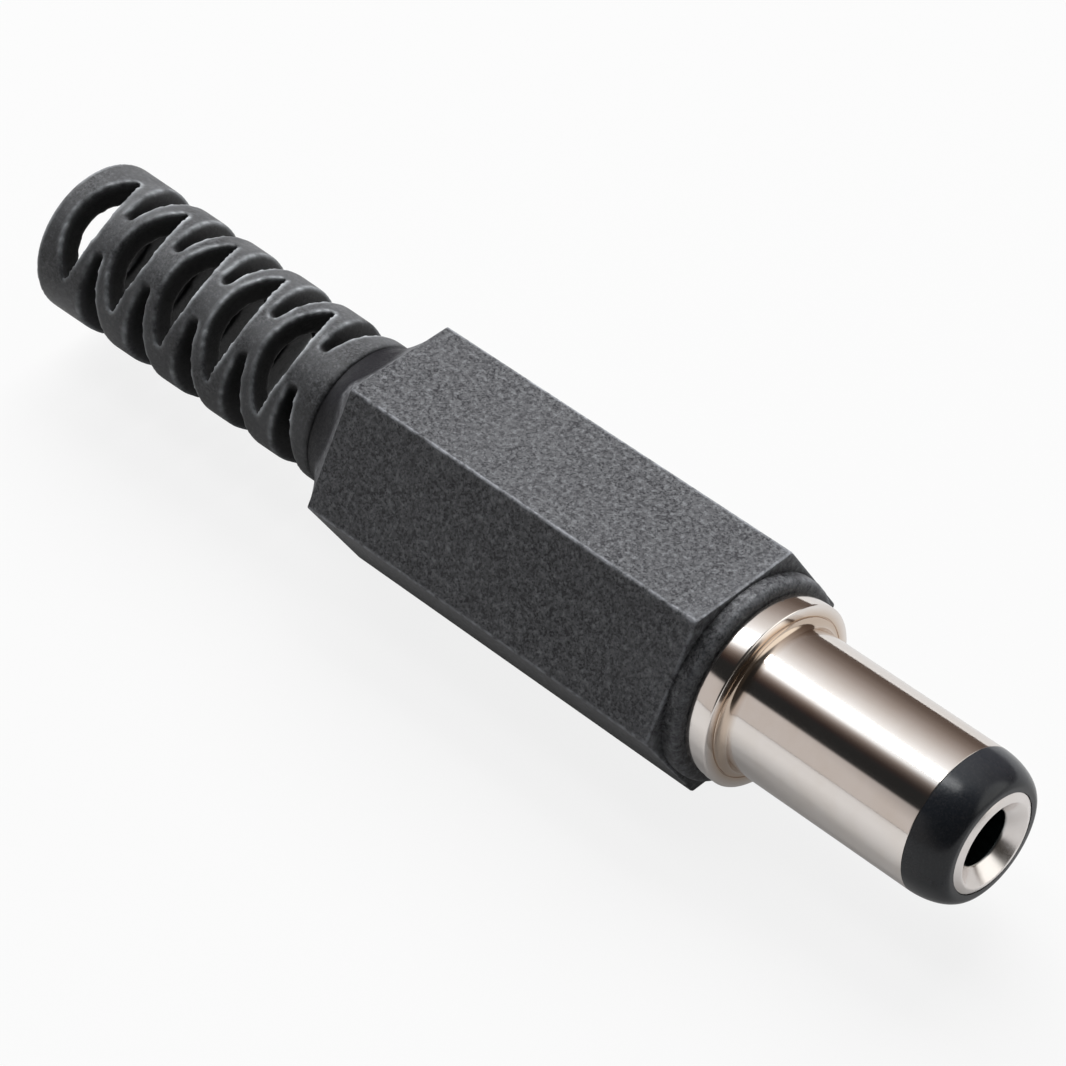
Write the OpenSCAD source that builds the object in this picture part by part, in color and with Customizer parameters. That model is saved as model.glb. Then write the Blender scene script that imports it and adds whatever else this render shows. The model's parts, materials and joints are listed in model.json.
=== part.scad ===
// DC barrel plug for soldering to a cable: a turned barrel with a threaded shank,
// its centre contact and insulators, two solder terminals, and a screw-on cover
// with a hexagonal grip and a moulded strain relief. The plug lies along X with
// its tip at +X. The origin is on the axis at the front face of the flange.

/* [Barrel] */
// Outside diameter of the barrel
barrel_d = 5.5; // [5.3:0.1:6]
// Length of the barrel from the flange to the tip
barrel_l = 9.5; // [8:0.5:14]
// Wall of the barrel
barrel_wall = 0.5; // [0.4:0.05:0.6]
// Radius of the hollow corner where the barrel meets the flange
root_r = 0.35; // [0.2:0.05:0.45]

/* [Flange and shank] */
// Diameter of the flange
flange_d = 7; // [6.8:0.1:7.6]
// Thickness of the flange
flange_t = 0.7; // [0.5:0.1:1.5]
// Rounding of the flange's front edge
flange_round = 0.1; // [0.05:0.05:0.25]
// How far the thread's crests stand out beyond the barrel
shank_step = 0.35; // [0.3:0.05:0.45]
// Length of the threaded shank
shank_l = 5; // [4:0.5:6]
// Thickness of the turned rim behind the shank that holds the sleeve terminal
tail_wall = 0.25; // [0.2:0.05:0.3]
// Length of the rolled rim
tail_roll_l = 0.25; // [0.2:0.05:0.4]

/* [Nose and liner] */
// Length of the rounded nose in front of the barrel's metal
nose_l = 1.5; // [1:0.1:1.6]
// How far the nose is rounded in from the barrel's diameter
nose_round = 0.67; // [0.5:0.05:0.7]
// How far the centre contact stands out of the nose
lip_proud = 0.12; // [0.05:0.01:0.2]

/* [Centre contact] */
// Diameter of the hole for the socket's pin
pin_hole_d = 2.1; // [1.9:0.1:2.3]
// Wall of the centre contact
contact_wall = 0.3; // [0.25:0.05:0.35]
// Width of the nose's flat rim round the contact's lip
nose_rim_w = 0.16; // [0.1:0.02:0.3]
// Thickness of the front lip
lip_t = 0.4; // [0.3:0.05:0.6]
// Depth and width of the countersink in the mouth
mouth_chamfer = 0.5; // [0.3:0.05:0.6]
// How far the riveted rear end is spread beyond the tube
rivet_spread = 0.35; // [0.2:0.05:0.4]
// Length of the riveted rear end
rivet_l = 0.3; // [0.2:0.05:0.5]

/* [Insulating washer] */
// Width of the washer between the liner and the centre terminal
washer_w = 0.65; // [0.5:0.05:0.7]
// Thickness of the washer
washer_t = 0.8; // [0.5:0.1:1.2]

/* [Terminals] */
// Thickness of the terminals' sheet
sheet_t = 0.3; // [0.25:0.05:0.35]
// Length of the straight strap behind the ring, before it bends in
strap_step_l = 0.5; // [0.4:0.1:0.8]
// Length of the strap's bend
strap_bend_l = 0.5; // [0.4:0.1:1]
// Width of the strap
strap_w = 2.6; // [2:0.1:3]
// Length of the cable claws
claw_l = 3.6; // [2.5:0.1:4]
// Distance from the shank's rear to the end of the claws
claw_reach = 9.9; // [8:0.1:10.5]
// Height of the claws' free edges above the axis
claw_top = 0.9; // [0:0.1:1.2]
// Width of the centre terminal's ring
tag_ring_w = 0.6; // [0.5:0.05:0.65]
// Width of the centre terminal's solder tag
tag_w = 1.8; // [1.4:0.1:2]
// How far the solder tag stands clear above the rivet
tag_lift = 0.15; // [0.1:0.05:0.3]
// Length of the solder tag
tag_l = 4.1; // [3:0.1:4.5]
// Diameter of the hole in the solder tag
tag_hole_d = 1; // [0.8:0.1:1.1]
// Distance from the tag's end to the middle of its hole
tag_hole_inset = 1.2; // [0.9:0.1:1.3]

/* [Cover] */
// Distance across the flats of the grip
grip_flats = 8; // [7.7:0.1:9]
// Length of the hexagonal grip
grip_l = 16.3; // [15.8:0.1:20]
// Diameter of the round collar in front of the grip
collar_d = 7.8; // [7.4:0.1:8]
// Length of the round collar
collar_l = 0.85; // [0.4:0.05:1]
// Rounding of the collar's front edge
collar_round = 0.15; // [0.05:0.05:0.3]
// Length of the shoulder that tapers from the grip to the strain relief
shoulder_l = 1.95; // [1.5:0.05:3]
// Depth of the fine groove behind the shoulder
groove_depth = 0.1; // [0.05:0.05:0.15]
// Width of the fine groove
groove_w = 0.12; // [0.08:0.02:0.2]
// How much narrower the hollow behind the thread is, on the radius
hollow_step = 0.23; // [0.15:0.01:0.3]
// Length of the threaded hole beyond the end of the shank
thread_spare_l = 1; // [0.5:0.1:1.5]

/* [Strain relief] */
// Diameter of the strain relief at its front
relief_front_d = 5.75; // [5.5:0.05:6]
// Diameter of the strain relief at its rear
relief_rear_d = 6.03; // [5.8:0.01:6.3]
// Diameter of the cable hole
cable_d = 3.6; // [3:0.1:3.8]
// Length of the plain collar in front of the first window
relief_collar_l = 0.95; // [0.6:0.05:2]
// Length of the plain ring at the rear
relief_end_l = 0.9; // [0.6:0.05:2]
// Number of wavy ribs
rib_count = 9; // [3:2:13]
// Distance from one rib to the next
rib_pitch = 1.29; // [1.25:0.01:1.6]
// Width of a rib
rib_w = 0.5; // [0.4:0.02:0.54]
// How far each rib sways along the axis, to either side of its middle
rib_sway = 0.35; // [0.3:0.01:0.35]
// Thickness of the bridges at the two sides
side_bridge_t = 0.65; // [0.5:0.05:0.8]
// Width of the bridges at the front and the back
face_bridge_w = 1.52; // [1.2:0.02:1.8]
// Width of the rounded inner end of a side window
window_tip_d = 0.4; // [0.3:0.02:0.44]

/* [Clearances] */
// Radial clearance of the threads
thread_gap = 0.08; // [0.05:0.01:0.1]
// Clearance of the sleeve terminal's ring in the threaded hole
ring_gap = 0.13; // [0.1:0.01:0.2]
// Clearance of the claws in the hollow
claw_gap = 0.2; // [0.1:0.05:0.3]
// Clearance between the rolled rim and the strap that passes it
roll_gap = 0.05; // [0.03:0.01:0.08]

/* [Hidden] */
$fn = 96;

// Number of steps in a rounded corner of an outline
arc_steps = 8;
// Number of sides of the round end of the lofted shoulder
loft_sides = 32;
// Length by which a cut runs past a face
cut_extra = 1;
// How much narrower a side window is than its round end, where the two meet
tip_overlap = 0.02;
// Angle by which the strain relief's windows are turned towards a ridge of the grip
window_turn = 30;
// Thickness of the plate at the round end of the lofted shoulder
loft_plate = 0.01;

// Radii
barrel_r = barrel_d / 2;
liner_r = barrel_r - barrel_wall;
tail_r = liner_r + tail_wall;
nose_face_r = barrel_r - nose_round;
pin_hole_r = pin_hole_d / 2;
contact_r = pin_hole_r + contact_wall;
rivet_r = contact_r + rivet_spread;
lip_r = nose_face_r - nose_rim_w;
mouth_r = pin_hole_r + mouth_chamfer;
shank_r = barrel_r + shank_step;
thread_hole_r = shank_r + thread_gap;
hollow_r = thread_hole_r - hollow_step;
relief_front_r = relief_front_d / 2;
relief_rear_r = relief_rear_d / 2;
ring_r = thread_hole_r - ring_gap;
strap_r = hollow_r - claw_gap;
tail_roll_r = ring_r - sheet_t - roll_gap;
tag_top = rivet_r + tag_lift + sheet_t;

// Places along the axis, from the tip to the rear
nose_face_x = barrel_l - lip_proud;
metal_tip_x = nose_face_x - nose_l;
lip_seat_x = barrel_l - lip_t;
mouth_x = barrel_l - mouth_chamfer;
lip_edge_x = nose_face_x - lip_proud / 4;
shank_rear_x = -flange_t - shank_l;
ring_rear_x = shank_rear_x - sheet_t;
tail_x = ring_rear_x - tail_roll_l;
washer_rear_x = tail_x - washer_t;
tag_rear_x = washer_rear_x - sheet_t;
contact_rear_x = tag_rear_x - rivet_l;
strap_step_x = ring_rear_x - strap_step_l;
strap_bend_x = strap_step_x - strap_bend_l;
claw_rear_x = shank_rear_x - claw_reach;
tag_end_x = washer_rear_x - tag_l;
cover_front_x = -flange_t;
grip_front_x = cover_front_x - collar_l;
grip_rear_x = grip_front_x - grip_l;
thread_rear_x = shank_rear_x - thread_spare_l;
relief_front_x = grip_rear_x - shoulder_l;
flex_l = (rib_count + 1) * rib_pitch - rib_w / 2;
flex_front_x = relief_front_x - relief_collar_l;
flex_rear_x = flex_front_x - flex_l;
cover_rear_x = flex_rear_x - relief_end_l;

// Windows of the strain relief
window_wide = rib_pitch + 2 * rib_sway - rib_w;
slot_half_l = relief_rear_r - side_bridge_t;
slot_arc_x = arc_place(window_wide / 2, 0, slot_half_l);
slot_arc_r = slot_arc_x + window_wide / 2;
tip_r = window_tip_d / 2;
tip_y = face_bridge_w / 2 + tip_r;
side_neck = tip_r - tip_overlap;
side_sag = window_wide / 2 - side_neck;
side_arc_x = arc_place(side_sag, tip_y, relief_rear_r) + side_sag;
side_arc_r = norm([side_arc_x, tip_y]);

// Distance from a line to the centre of an arc that is sag nearer to the line at
// height far than at height near, both measured from the centre
function arc_place(sag, near, far) = ((far * far - near * near) / sag - sag) / 2;

// Points of an arc in an outline, in the order radius, place along the axis
function bend(r, x, r_size, x_size, from, to) =
    [for (i = [0 : arc_steps])
        let (a = from + (to - from) * i / arc_steps)
        [r + r_size * cos(a), x + x_size * sin(a)]];

// Lays what is drawn along Z down along X
module lay() {
    rotate([0, 90, 0]) children();
}

// Turns an outline of radius and place about the plug's axis
module turned(points) {
    lay() rotate_extrude() polygon(points);
}

// Round bar or hole from one place to another
module bar(r, from, to) {
    lay() translate([0, 0, min(from, to)]) cylinder(r = r, h = abs(to - from));
}

// Hexagon with flats at the bottom and the top of the plug
module hexagon() {
    rotate(30) circle(r = grip_flats / 2 / cos(30), $fn = 6);
}

module collar() {
    collar_r = collar_d / 2;
    turned(concat(
        [[0, grip_front_x - cut_extra], [collar_r, grip_front_x - cut_extra]],
        bend(collar_r - collar_round, cover_front_x - collar_round,
             collar_round, collar_round, 0, 90),
        [[0, cover_front_x]]));
}

// Hexagonal grip, lofted to the round strain relief at its rear
module grip() {
    hull() {
        lay() translate([0, 0, grip_rear_x]) linear_extrude(height = grip_l) hexagon();
        lay() translate([0, 0, relief_front_x + groove_w])
            cylinder(r = relief_front_r, h = loft_plate, $fn = loft_sides);
    }
}

// Strain relief before its windows are cut
module relief_blank() {
    bar(relief_front_r - groove_depth, relief_front_x, grip_rear_x);
    turned([[0, cover_rear_x], [relief_rear_r, cover_rear_x],
            [relief_front_r, relief_front_x], [0, relief_front_x]]);
}

// Lens that opens the strain relief from the front right through to the back
module slot_outline() {
    intersection() {
        translate([-slot_arc_x, 0]) circle(r = slot_arc_r);
        translate([slot_arc_x, 0]) circle(r = slot_arc_r);
    }
}

// Window that opens one side, narrow and round within and wide at the outside
module side_outline() {
    wall_x = side_arc_x + side_neck;
    translate([0, tip_y]) circle(r = tip_r);
    difference() {
        translate([-rib_pitch, tip_y]) square([2 * rib_pitch, relief_rear_r + cut_extra - tip_y]);
        translate([-wall_x, 0]) circle(r = side_arc_r);
        translate([wall_x, 0]) circle(r = side_arc_r);
    }
}

// All windows as seen square to the slots, kept between the collar and the end ring
module window_pattern() {
    intersection() {
        translate([flex_rear_x, -relief_rear_r - cut_extra])
            square([flex_l, 2 * (relief_rear_r + cut_extra)]);
        for (i = [0 : 2 : rib_count]) {
            slot_x = flex_rear_x + (i + 0.5) * rib_pitch;
            translate([slot_x, 0]) slot_outline();
            translate([slot_x + rib_pitch, 0]) side_outline();
            translate([slot_x + rib_pitch, 0]) mirror([0, 1]) side_outline();
        }
    }
}

module windows() {
    rotate([window_turn, 0, 0])
        linear_extrude(height = 2 * (relief_rear_r + cut_extra), center = true)
            window_pattern();
}

// Threaded hole, hollow, funnel and cable hole in one outline
module cover_inside() {
    cable_r = cable_d / 2;
    turned([[0, cover_front_x + cut_extra], [thread_hole_r, cover_front_x + cut_extra],
            [thread_hole_r, thread_rear_x], [hollow_r, thread_rear_x],
            [hollow_r, grip_rear_x], [cable_r, relief_front_x],
            [cable_r, cover_rear_x - cut_extra], [0, cover_rear_x - cut_extra]]);
}

module cover() {
    color([0.15, 0.15, 0.16]) difference() {
        union() {
            collar();
            grip();
            relief_blank();
        }
        cover_inside();
        windows();
    }
}

// Barrel, flange, shank and rolled rim, turned in one piece
module sleeve() {
    flange_r = flange_d / 2;
    color([0.80, 0.78, 0.74]) turned(concat(
        [[liner_r, tail_x], [tail_roll_r, tail_x], [tail_roll_r, ring_rear_x],
         [tail_r, ring_rear_x], [tail_r, shank_rear_x],
         [shank_r, shank_rear_x], [shank_r, -flange_t], [flange_r, -flange_t]],
        bend(flange_r - flange_round, -flange_round, flange_round, flange_round, 0, 90),
        bend(barrel_r + root_r, root_r, root_r, root_r, 270, 180),
        [[barrel_r, metal_tip_x], [liner_r, metal_tip_x]]));
}

// Rounded nose and the liner tube behind it, moulded in one piece
module nose_insulator() {
    color([0.10, 0.10, 0.11]) turned(concat(
        [[contact_r, tail_x], [liner_r, tail_x], [liner_r, metal_tip_x]],
        bend(nose_face_r, metal_tip_x, nose_round, nose_l, 0, 90),
        [[lip_r, nose_face_x], [lip_r, lip_seat_x], [contact_r, lip_seat_x]]));
}

// Tube with a domed and countersunk lip in front and a riveted rear end
module centre_contact() {
    color([0.82, 0.78, 0.76]) turned(concat(
        [[pin_hole_r, contact_rear_x], [rivet_r, contact_rear_x],
         [rivet_r, tag_rear_x], [contact_r, tag_rear_x],
         [contact_r, lip_seat_x], [lip_r, lip_seat_x]],
        bend(mouth_r, lip_edge_x, lip_r - mouth_r, barrel_l - lip_edge_x, 0, 90),
        [[pin_hole_r, mouth_x]]));
}

module rear_insulator() {
    color([0.85, 0.82, 0.72]) difference() {
        bar(contact_r + washer_w, tail_x, washer_rear_x);
        bar(contact_r, tail_x + cut_extra, washer_rear_x - cut_extra);
    }
}

// Ring round the sleeve's rim, a strap along the bottom and open claws for the cable
module sleeve_terminal() {
    color([0.80, 0.78, 0.74]) {
        difference() {
            bar(ring_r, shank_rear_x, ring_rear_x);
            bar(tail_r, shank_rear_x + cut_extra, ring_rear_x - cut_extra);
        }
        intersection() {
            turned([[ring_r, shank_rear_x], [ring_r, strap_step_x],
                    [strap_r, strap_bend_x], [strap_r, claw_rear_x],
                    [strap_r - sheet_t, claw_rear_x], [strap_r - sheet_t, strap_bend_x],
                    [ring_r - sheet_t, strap_step_x], [ring_r - sheet_t, shank_rear_x]]);
            translate([claw_rear_x, -strap_w / 2, -ring_r])
                cube([shank_rear_x - claw_rear_x, strap_w, ring_r]);
        }
        intersection() {
            difference() {
                bar(strap_r, claw_rear_x, claw_rear_x + claw_l);
                bar(strap_r - sheet_t, claw_rear_x - cut_extra, claw_rear_x + claw_l + cut_extra);
            }
            translate([claw_rear_x, -strap_r, -strap_r])
                cube([claw_l, 2 * strap_r, strap_r + claw_top]);
        }
    }
}

// Ring under the rivet and a solder tag that runs back from its upper side
module centre_terminal() {
    color([0.80, 0.76, 0.68]) difference() {
        union() {
            bar(contact_r + tag_ring_w, washer_rear_x, tag_rear_x);
            translate([tag_rear_x, -tag_w / 2, 0]) cube([sheet_t, tag_w, tag_top]);
            translate([tag_end_x, -tag_w / 2, tag_top - sheet_t]) cube([tag_l, tag_w, sheet_t]);
        }
        bar(contact_r, washer_rear_x + cut_extra, tag_rear_x - rivet_l - cut_extra);
        translate([tag_end_x + tag_hole_inset, 0, 0])
            cylinder(d = tag_hole_d, h = tag_top + cut_extra);
    }
}

cover();
sleeve();
nose_insulator();
centre_contact();
rear_insulator();
sleeve_terminal();
centre_terminal();
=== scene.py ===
import bpy
import bmesh
import json
import math
import numpy
from mathutils import Matrix, Vector


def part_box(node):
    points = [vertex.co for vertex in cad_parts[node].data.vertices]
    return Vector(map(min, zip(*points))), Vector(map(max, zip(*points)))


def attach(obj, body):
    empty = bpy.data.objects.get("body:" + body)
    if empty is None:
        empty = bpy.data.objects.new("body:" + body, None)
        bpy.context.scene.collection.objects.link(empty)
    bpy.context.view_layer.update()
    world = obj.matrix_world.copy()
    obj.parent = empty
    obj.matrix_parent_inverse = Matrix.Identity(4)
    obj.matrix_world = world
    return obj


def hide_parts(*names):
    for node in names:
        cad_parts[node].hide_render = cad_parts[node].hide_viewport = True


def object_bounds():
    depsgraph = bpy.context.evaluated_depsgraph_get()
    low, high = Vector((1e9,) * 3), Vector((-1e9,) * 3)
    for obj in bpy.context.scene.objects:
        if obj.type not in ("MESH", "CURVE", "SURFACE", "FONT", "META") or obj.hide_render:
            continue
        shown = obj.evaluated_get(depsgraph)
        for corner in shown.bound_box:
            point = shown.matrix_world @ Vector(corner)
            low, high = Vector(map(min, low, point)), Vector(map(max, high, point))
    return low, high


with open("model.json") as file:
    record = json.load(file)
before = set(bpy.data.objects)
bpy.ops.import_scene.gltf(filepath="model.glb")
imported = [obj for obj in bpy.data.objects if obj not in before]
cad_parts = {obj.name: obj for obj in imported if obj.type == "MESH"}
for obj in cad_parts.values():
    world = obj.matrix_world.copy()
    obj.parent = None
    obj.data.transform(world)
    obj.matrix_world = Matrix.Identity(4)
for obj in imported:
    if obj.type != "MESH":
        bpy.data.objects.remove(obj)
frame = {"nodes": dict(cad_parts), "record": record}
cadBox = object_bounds()
millimetre = 0.001  # shapes are drawn in millimetres and brought to metres when they are finished
tarnishAndShadeFade = 0.12  # width of the soft edge of a tarnished ring and of the painted shade in the contact's bore
mounts = {m["name"]: m for m in frame["record"]["mounts"]}


def nodeBox(node):
    low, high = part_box(node)
    return low / millimetre, high / millimetre


def mountRadius(name):
    return mounts[name]["dims"]["r_mm"]


coverLow, coverHigh = nodeBox("cover")
sleeveLow, sleeveHigh = nodeBox("sleeve")
noseLow, noseHigh = nodeBox("nose_insulator")
contactLow, contactHigh = nodeBox("centre_contact")
ringHigh = nodeBox("sleeve_terminal")[1]
floorHeight = cadBox[0].z
print("stage: frame loaded")


# Turned and lofted shapes

def softened(outline, steps=5):
    # outline points are (place on the axis, radius, rounding), and the outline is closed
    points = []
    for i, (x, r, rounding) in enumerate(outline):
        corner = Vector((x, r))
        if rounding == 0:
            points.append(corner)
            continue
        before = (Vector(outline[i - 1][:2]) - corner).normalized()
        after = (Vector(outline[(i + 1) % len(outline)][:2]) - corner).normalized()
        half = before.angle(after) / 2
        centre = corner + (before + after).normalized() * rounding / math.sin(half)
        start = corner + before * rounding / math.tan(half) - centre
        end = corner + after * rounding / math.tan(half) - centre
        sweep = start.angle(end)
        for step in range(steps + 1):
            t = step / steps
            spoke = start * math.sin((1 - t) * sweep) + end * math.sin(t * sweep)
            points.append(centre + spoke / math.sin(sweep))
    return points


def closedLoft(rings):
    # each ring is a closed loop, and the last ring joins the first one
    shape = bmesh.new()
    loops = [[shape.verts.new(p) for p in ring] for ring in rings]
    for i, loop in enumerate(loops):
        following = loops[(i + 1) % len(loops)]
        for j in range(len(loop)):
            k = (j + 1) % len(loop)
            shape.faces.new((loop[j], loop[k], following[k], following[j]))
    bmesh.ops.remove_doubles(shape, verts=shape.verts, dist=1e-5)
    bmesh.ops.dissolve_degenerate(shape, edges=shape.edges, dist=1e-6)
    bmesh.ops.recalc_face_normals(shape, faces=shape.faces)
    return shape


def turned(points, sides=144):
    angles = [2 * math.pi * i / sides for i in range(sides)]
    return closedLoft([[Vector((x, r * math.cos(a), r * math.sin(a))) for a in angles] for x, r in points])


def meshObject(name, shape):
    mesh = bpy.data.meshes.new(name)
    shape.to_mesh(mesh)
    shape.free()
    made = bpy.data.objects.new(name, mesh)
    bpy.context.scene.collection.objects.link(made)
    return made


def bakeModifiers(made):
    # turns what the modifiers give into the object's own plain mesh
    bpy.context.view_layer.update()
    evaluated = made.evaluated_get(bpy.context.evaluated_depsgraph_get())
    plain = bpy.data.meshes.new_from_object(evaluated)
    made.modifiers.clear()
    made.data = plain
    return made


def readValues(source, field, kind, width):
    values = numpy.empty(len(source) * width, dtype=kind)
    source.foreach_get(field, values)
    return values.reshape(-1, width)


def storeMark(mesh, name, values):
    mark = mesh.attributes.new(name, "FLOAT", "POINT")
    mark.data.foreach_set("value", values.astype(numpy.float32))


def pointPlaces(mesh):
    return readValues(mesh.vertices, "co", numpy.float32, 3)


def axisDistance(places):
    return numpy.hypot(places[:, 1], places[:, 2])


def markWearAndHighlight(mesh, bends, rear, front):
    # stores how strongly each point between rear and front stands out as an edge, which handling wears and
    # where a highlight is painted in a paler colour:
    # none below the first bend of the surface, and all of it from the second bend on
    places = pointPlaces(mesh)
    normals = readValues(mesh.vertex_normals, "vector", numpy.float32, 3)
    first, second = readValues(mesh.edges, "vertices", numpy.int32, 2).T
    along = places[second] - places[first]
    lengths = numpy.maximum((along ** 2).sum(axis=1), 1e-6)
    bend = ((normals[second] - normals[first]) * along).sum(axis=1) / lengths
    both = numpy.concatenate((first, second))
    shares = numpy.maximum(numpy.bincount(both, minlength=len(places)), 1)
    bothWays = numpy.concatenate((bend, bend))
    curvature = numpy.bincount(both, weights=bothWays, minlength=len(places)) / shares
    for turn in range(2):
        spread = numpy.concatenate((curvature[second], curvature[first]))
        around = numpy.bincount(both, weights=spread, minlength=len(places)) / shares
        curvature = (curvature + around) / 2
    paler = numpy.clip((curvature - bends[0]) / (bends[1] - bends[0]), 0, 1)
    storeMark(mesh, "wearAndHighlight", paler * (places[:, 0] > rear) * (places[:, 0] < front))


def markRecess(mesh, skinRadius, depth):
    # stores how far each point lies below the outer skin, for the painted shade that darkens recessed
    # surfaces
    storeMark(mesh, "recess", numpy.clip((skinRadius - axisDistance(pointPlaces(mesh))) / depth, 0, 1))


def markTarnishAndShade(mesh, low, high, face, corner):
    # stores a bloom on a step, brown tarnish on the sleeve and painted shade in the contact's bore: full on
    # its face and in its corner, none past high or outside face
    places = pointPlaces(mesh)
    along = numpy.clip((high - places[:, 0]) / (high - corner), 0, 1) * (places[:, 0] > low)
    inside = numpy.clip((face + tarnishAndShadeFade - axisDistance(places)) / tarnishAndShadeFade, 0, 1)
    storeMark(mesh, "tarnishAndShade", along * inside)


def finishPiece(made, body, material, replaced=(), sharpAngle=35):
    mesh = made.data
    mesh.transform(Matrix.Scale(millimetre, 4))
    mesh.materials.clear()
    mesh.materials.append(material)
    mesh.polygons.foreach_set("use_smooth", [True] * len(mesh.polygons))
    mesh.set_sharp_from_angle(angle=math.radians(sharpAngle))
    mesh.update()
    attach(made, body)
    if replaced:
        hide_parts(*replaced)
    print("piece:", made.name, len(mesh.polygons), "faces")
    return made


# Node trees

def nodeInput(tree, name, kind, value=None):
    socket = tree.interface.new_socket(name=name, in_out="INPUT", socket_type=kind)
    if value is not None:
        socket.default_value = value
    return socket


def nodeOutput(tree, name, kind):
    return tree.interface.new_socket(name=name, in_out="OUTPUT", socket_type=kind)


def mathNode(tree, operation, first, second=None):
    node = tree.nodes.new("ShaderNodeMath")
    node.operation = operation
    for socket, value in zip(node.inputs, (first, second)):
        if value is None:
            continue
        if isinstance(value, (int, float)):
            socket.default_value = value
        else:
            tree.links.new(value, socket)
    return node.outputs[0]


def runTree(made, modifierName, tree, values):
    # gives a piece to a geometry tree with its named inputs set, and keeps what comes out as plain mesh
    modifier = made.modifiers.new(modifierName, "NODES")
    modifier.node_group = tree
    for item in tree.interface.items_tree:
        if item.item_type == "SOCKET" and item.in_out == "INPUT" and item.name in values:
            modifier[item.identifier] = values[item.name]
    bakeModifiers(made)


def endTree(tree, geometry, material):
    # every geometry tree ends with real geometry in the piece's own material
    realize = tree.nodes.new("GeometryNodeRealizeInstances")
    dress = tree.nodes.new("GeometryNodeSetMaterial")
    result = tree.nodes.new("NodeGroupOutput")
    tree.links.new(geometry, realize.inputs[0])
    tree.links.new(realize.outputs[0], dress.inputs["Geometry"])
    tree.links.new(material, dress.inputs["Material"])
    tree.links.new(dress.outputs[0], result.inputs[0])


def threadTree():
    # presses a fine helical thread into the part of a surface that lies at one radius
    tree = bpy.data.node_groups.new("fineThread", "GeometryNodeTree")
    nodeInput(tree, "Geometry", "NodeSocketGeometry")
    for name in ("Front", "Rear", "Radius", "Reach", "Pitch", "Depth"):
        nodeInput(tree, name, "NodeSocketFloat", 1.0)
    nodeInput(tree, "Material", "NodeSocketMaterial")
    nodeOutput(tree, "Geometry", "NodeSocketGeometry")
    given = tree.nodes.new("NodeGroupInput").outputs
    position = tree.nodes.new("GeometryNodeInputPosition")
    parts = tree.nodes.new("ShaderNodeSeparateXYZ")
    tree.links.new(position.outputs[0], parts.inputs[0])
    x, y, z = parts.outputs
    radius = mathNode(tree, "SQRT", mathNode(tree, "ADD", mathNode(tree, "MULTIPLY", y, y),
                                             mathNode(tree, "MULTIPLY", z, z)))
    angle = mathNode(tree, "ARCTAN2", z, y)
    turns = mathNode(tree, "SUBTRACT", mathNode(tree, "DIVIDE", x, given["Pitch"]),
                     mathNode(tree, "DIVIDE", angle, 2 * math.pi))
    wave = mathNode(tree, "PINGPONG", mathNode(tree, "FRACT", turns), 0.5)
    groove = mathNode(tree, "MULTIPLY", wave, 2.0)
    ends = mathNode(tree, "MINIMUM", mathNode(tree, "SUBTRACT", given["Front"], x),
                    mathNode(tree, "SUBTRACT", x, given["Rear"]))
    fadeNode = tree.nodes.new("ShaderNodeMapRange")
    tree.links.new(ends, fadeNode.inputs["Value"])
    tree.links.new(given["Pitch"], fadeNode.inputs["From Max"])
    push = mathNode(tree, "MULTIPLY", mathNode(tree, "MULTIPLY", groove, given["Depth"]), fadeNode.outputs[0])
    near = mathNode(tree, "COMPARE", radius, given["Radius"])
    tree.links.new(given["Reach"], near.node.inputs[2])
    factor = mathNode(tree, "DIVIDE", mathNode(tree, "MULTIPLY", push, near), radius)
    offset = tree.nodes.new("ShaderNodeCombineXYZ")
    tree.links.new(mathNode(tree, "MULTIPLY", y, factor), offset.inputs[1])
    tree.links.new(mathNode(tree, "MULTIPLY", z, factor), offset.inputs[2])
    move = tree.nodes.new("GeometryNodeSetPosition")
    tree.links.new(given["Geometry"], move.inputs["Geometry"])
    tree.links.new(offset.outputs[0], move.inputs["Offset"])
    endTree(tree, move.outputs[0], given["Material"])
    return tree


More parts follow.
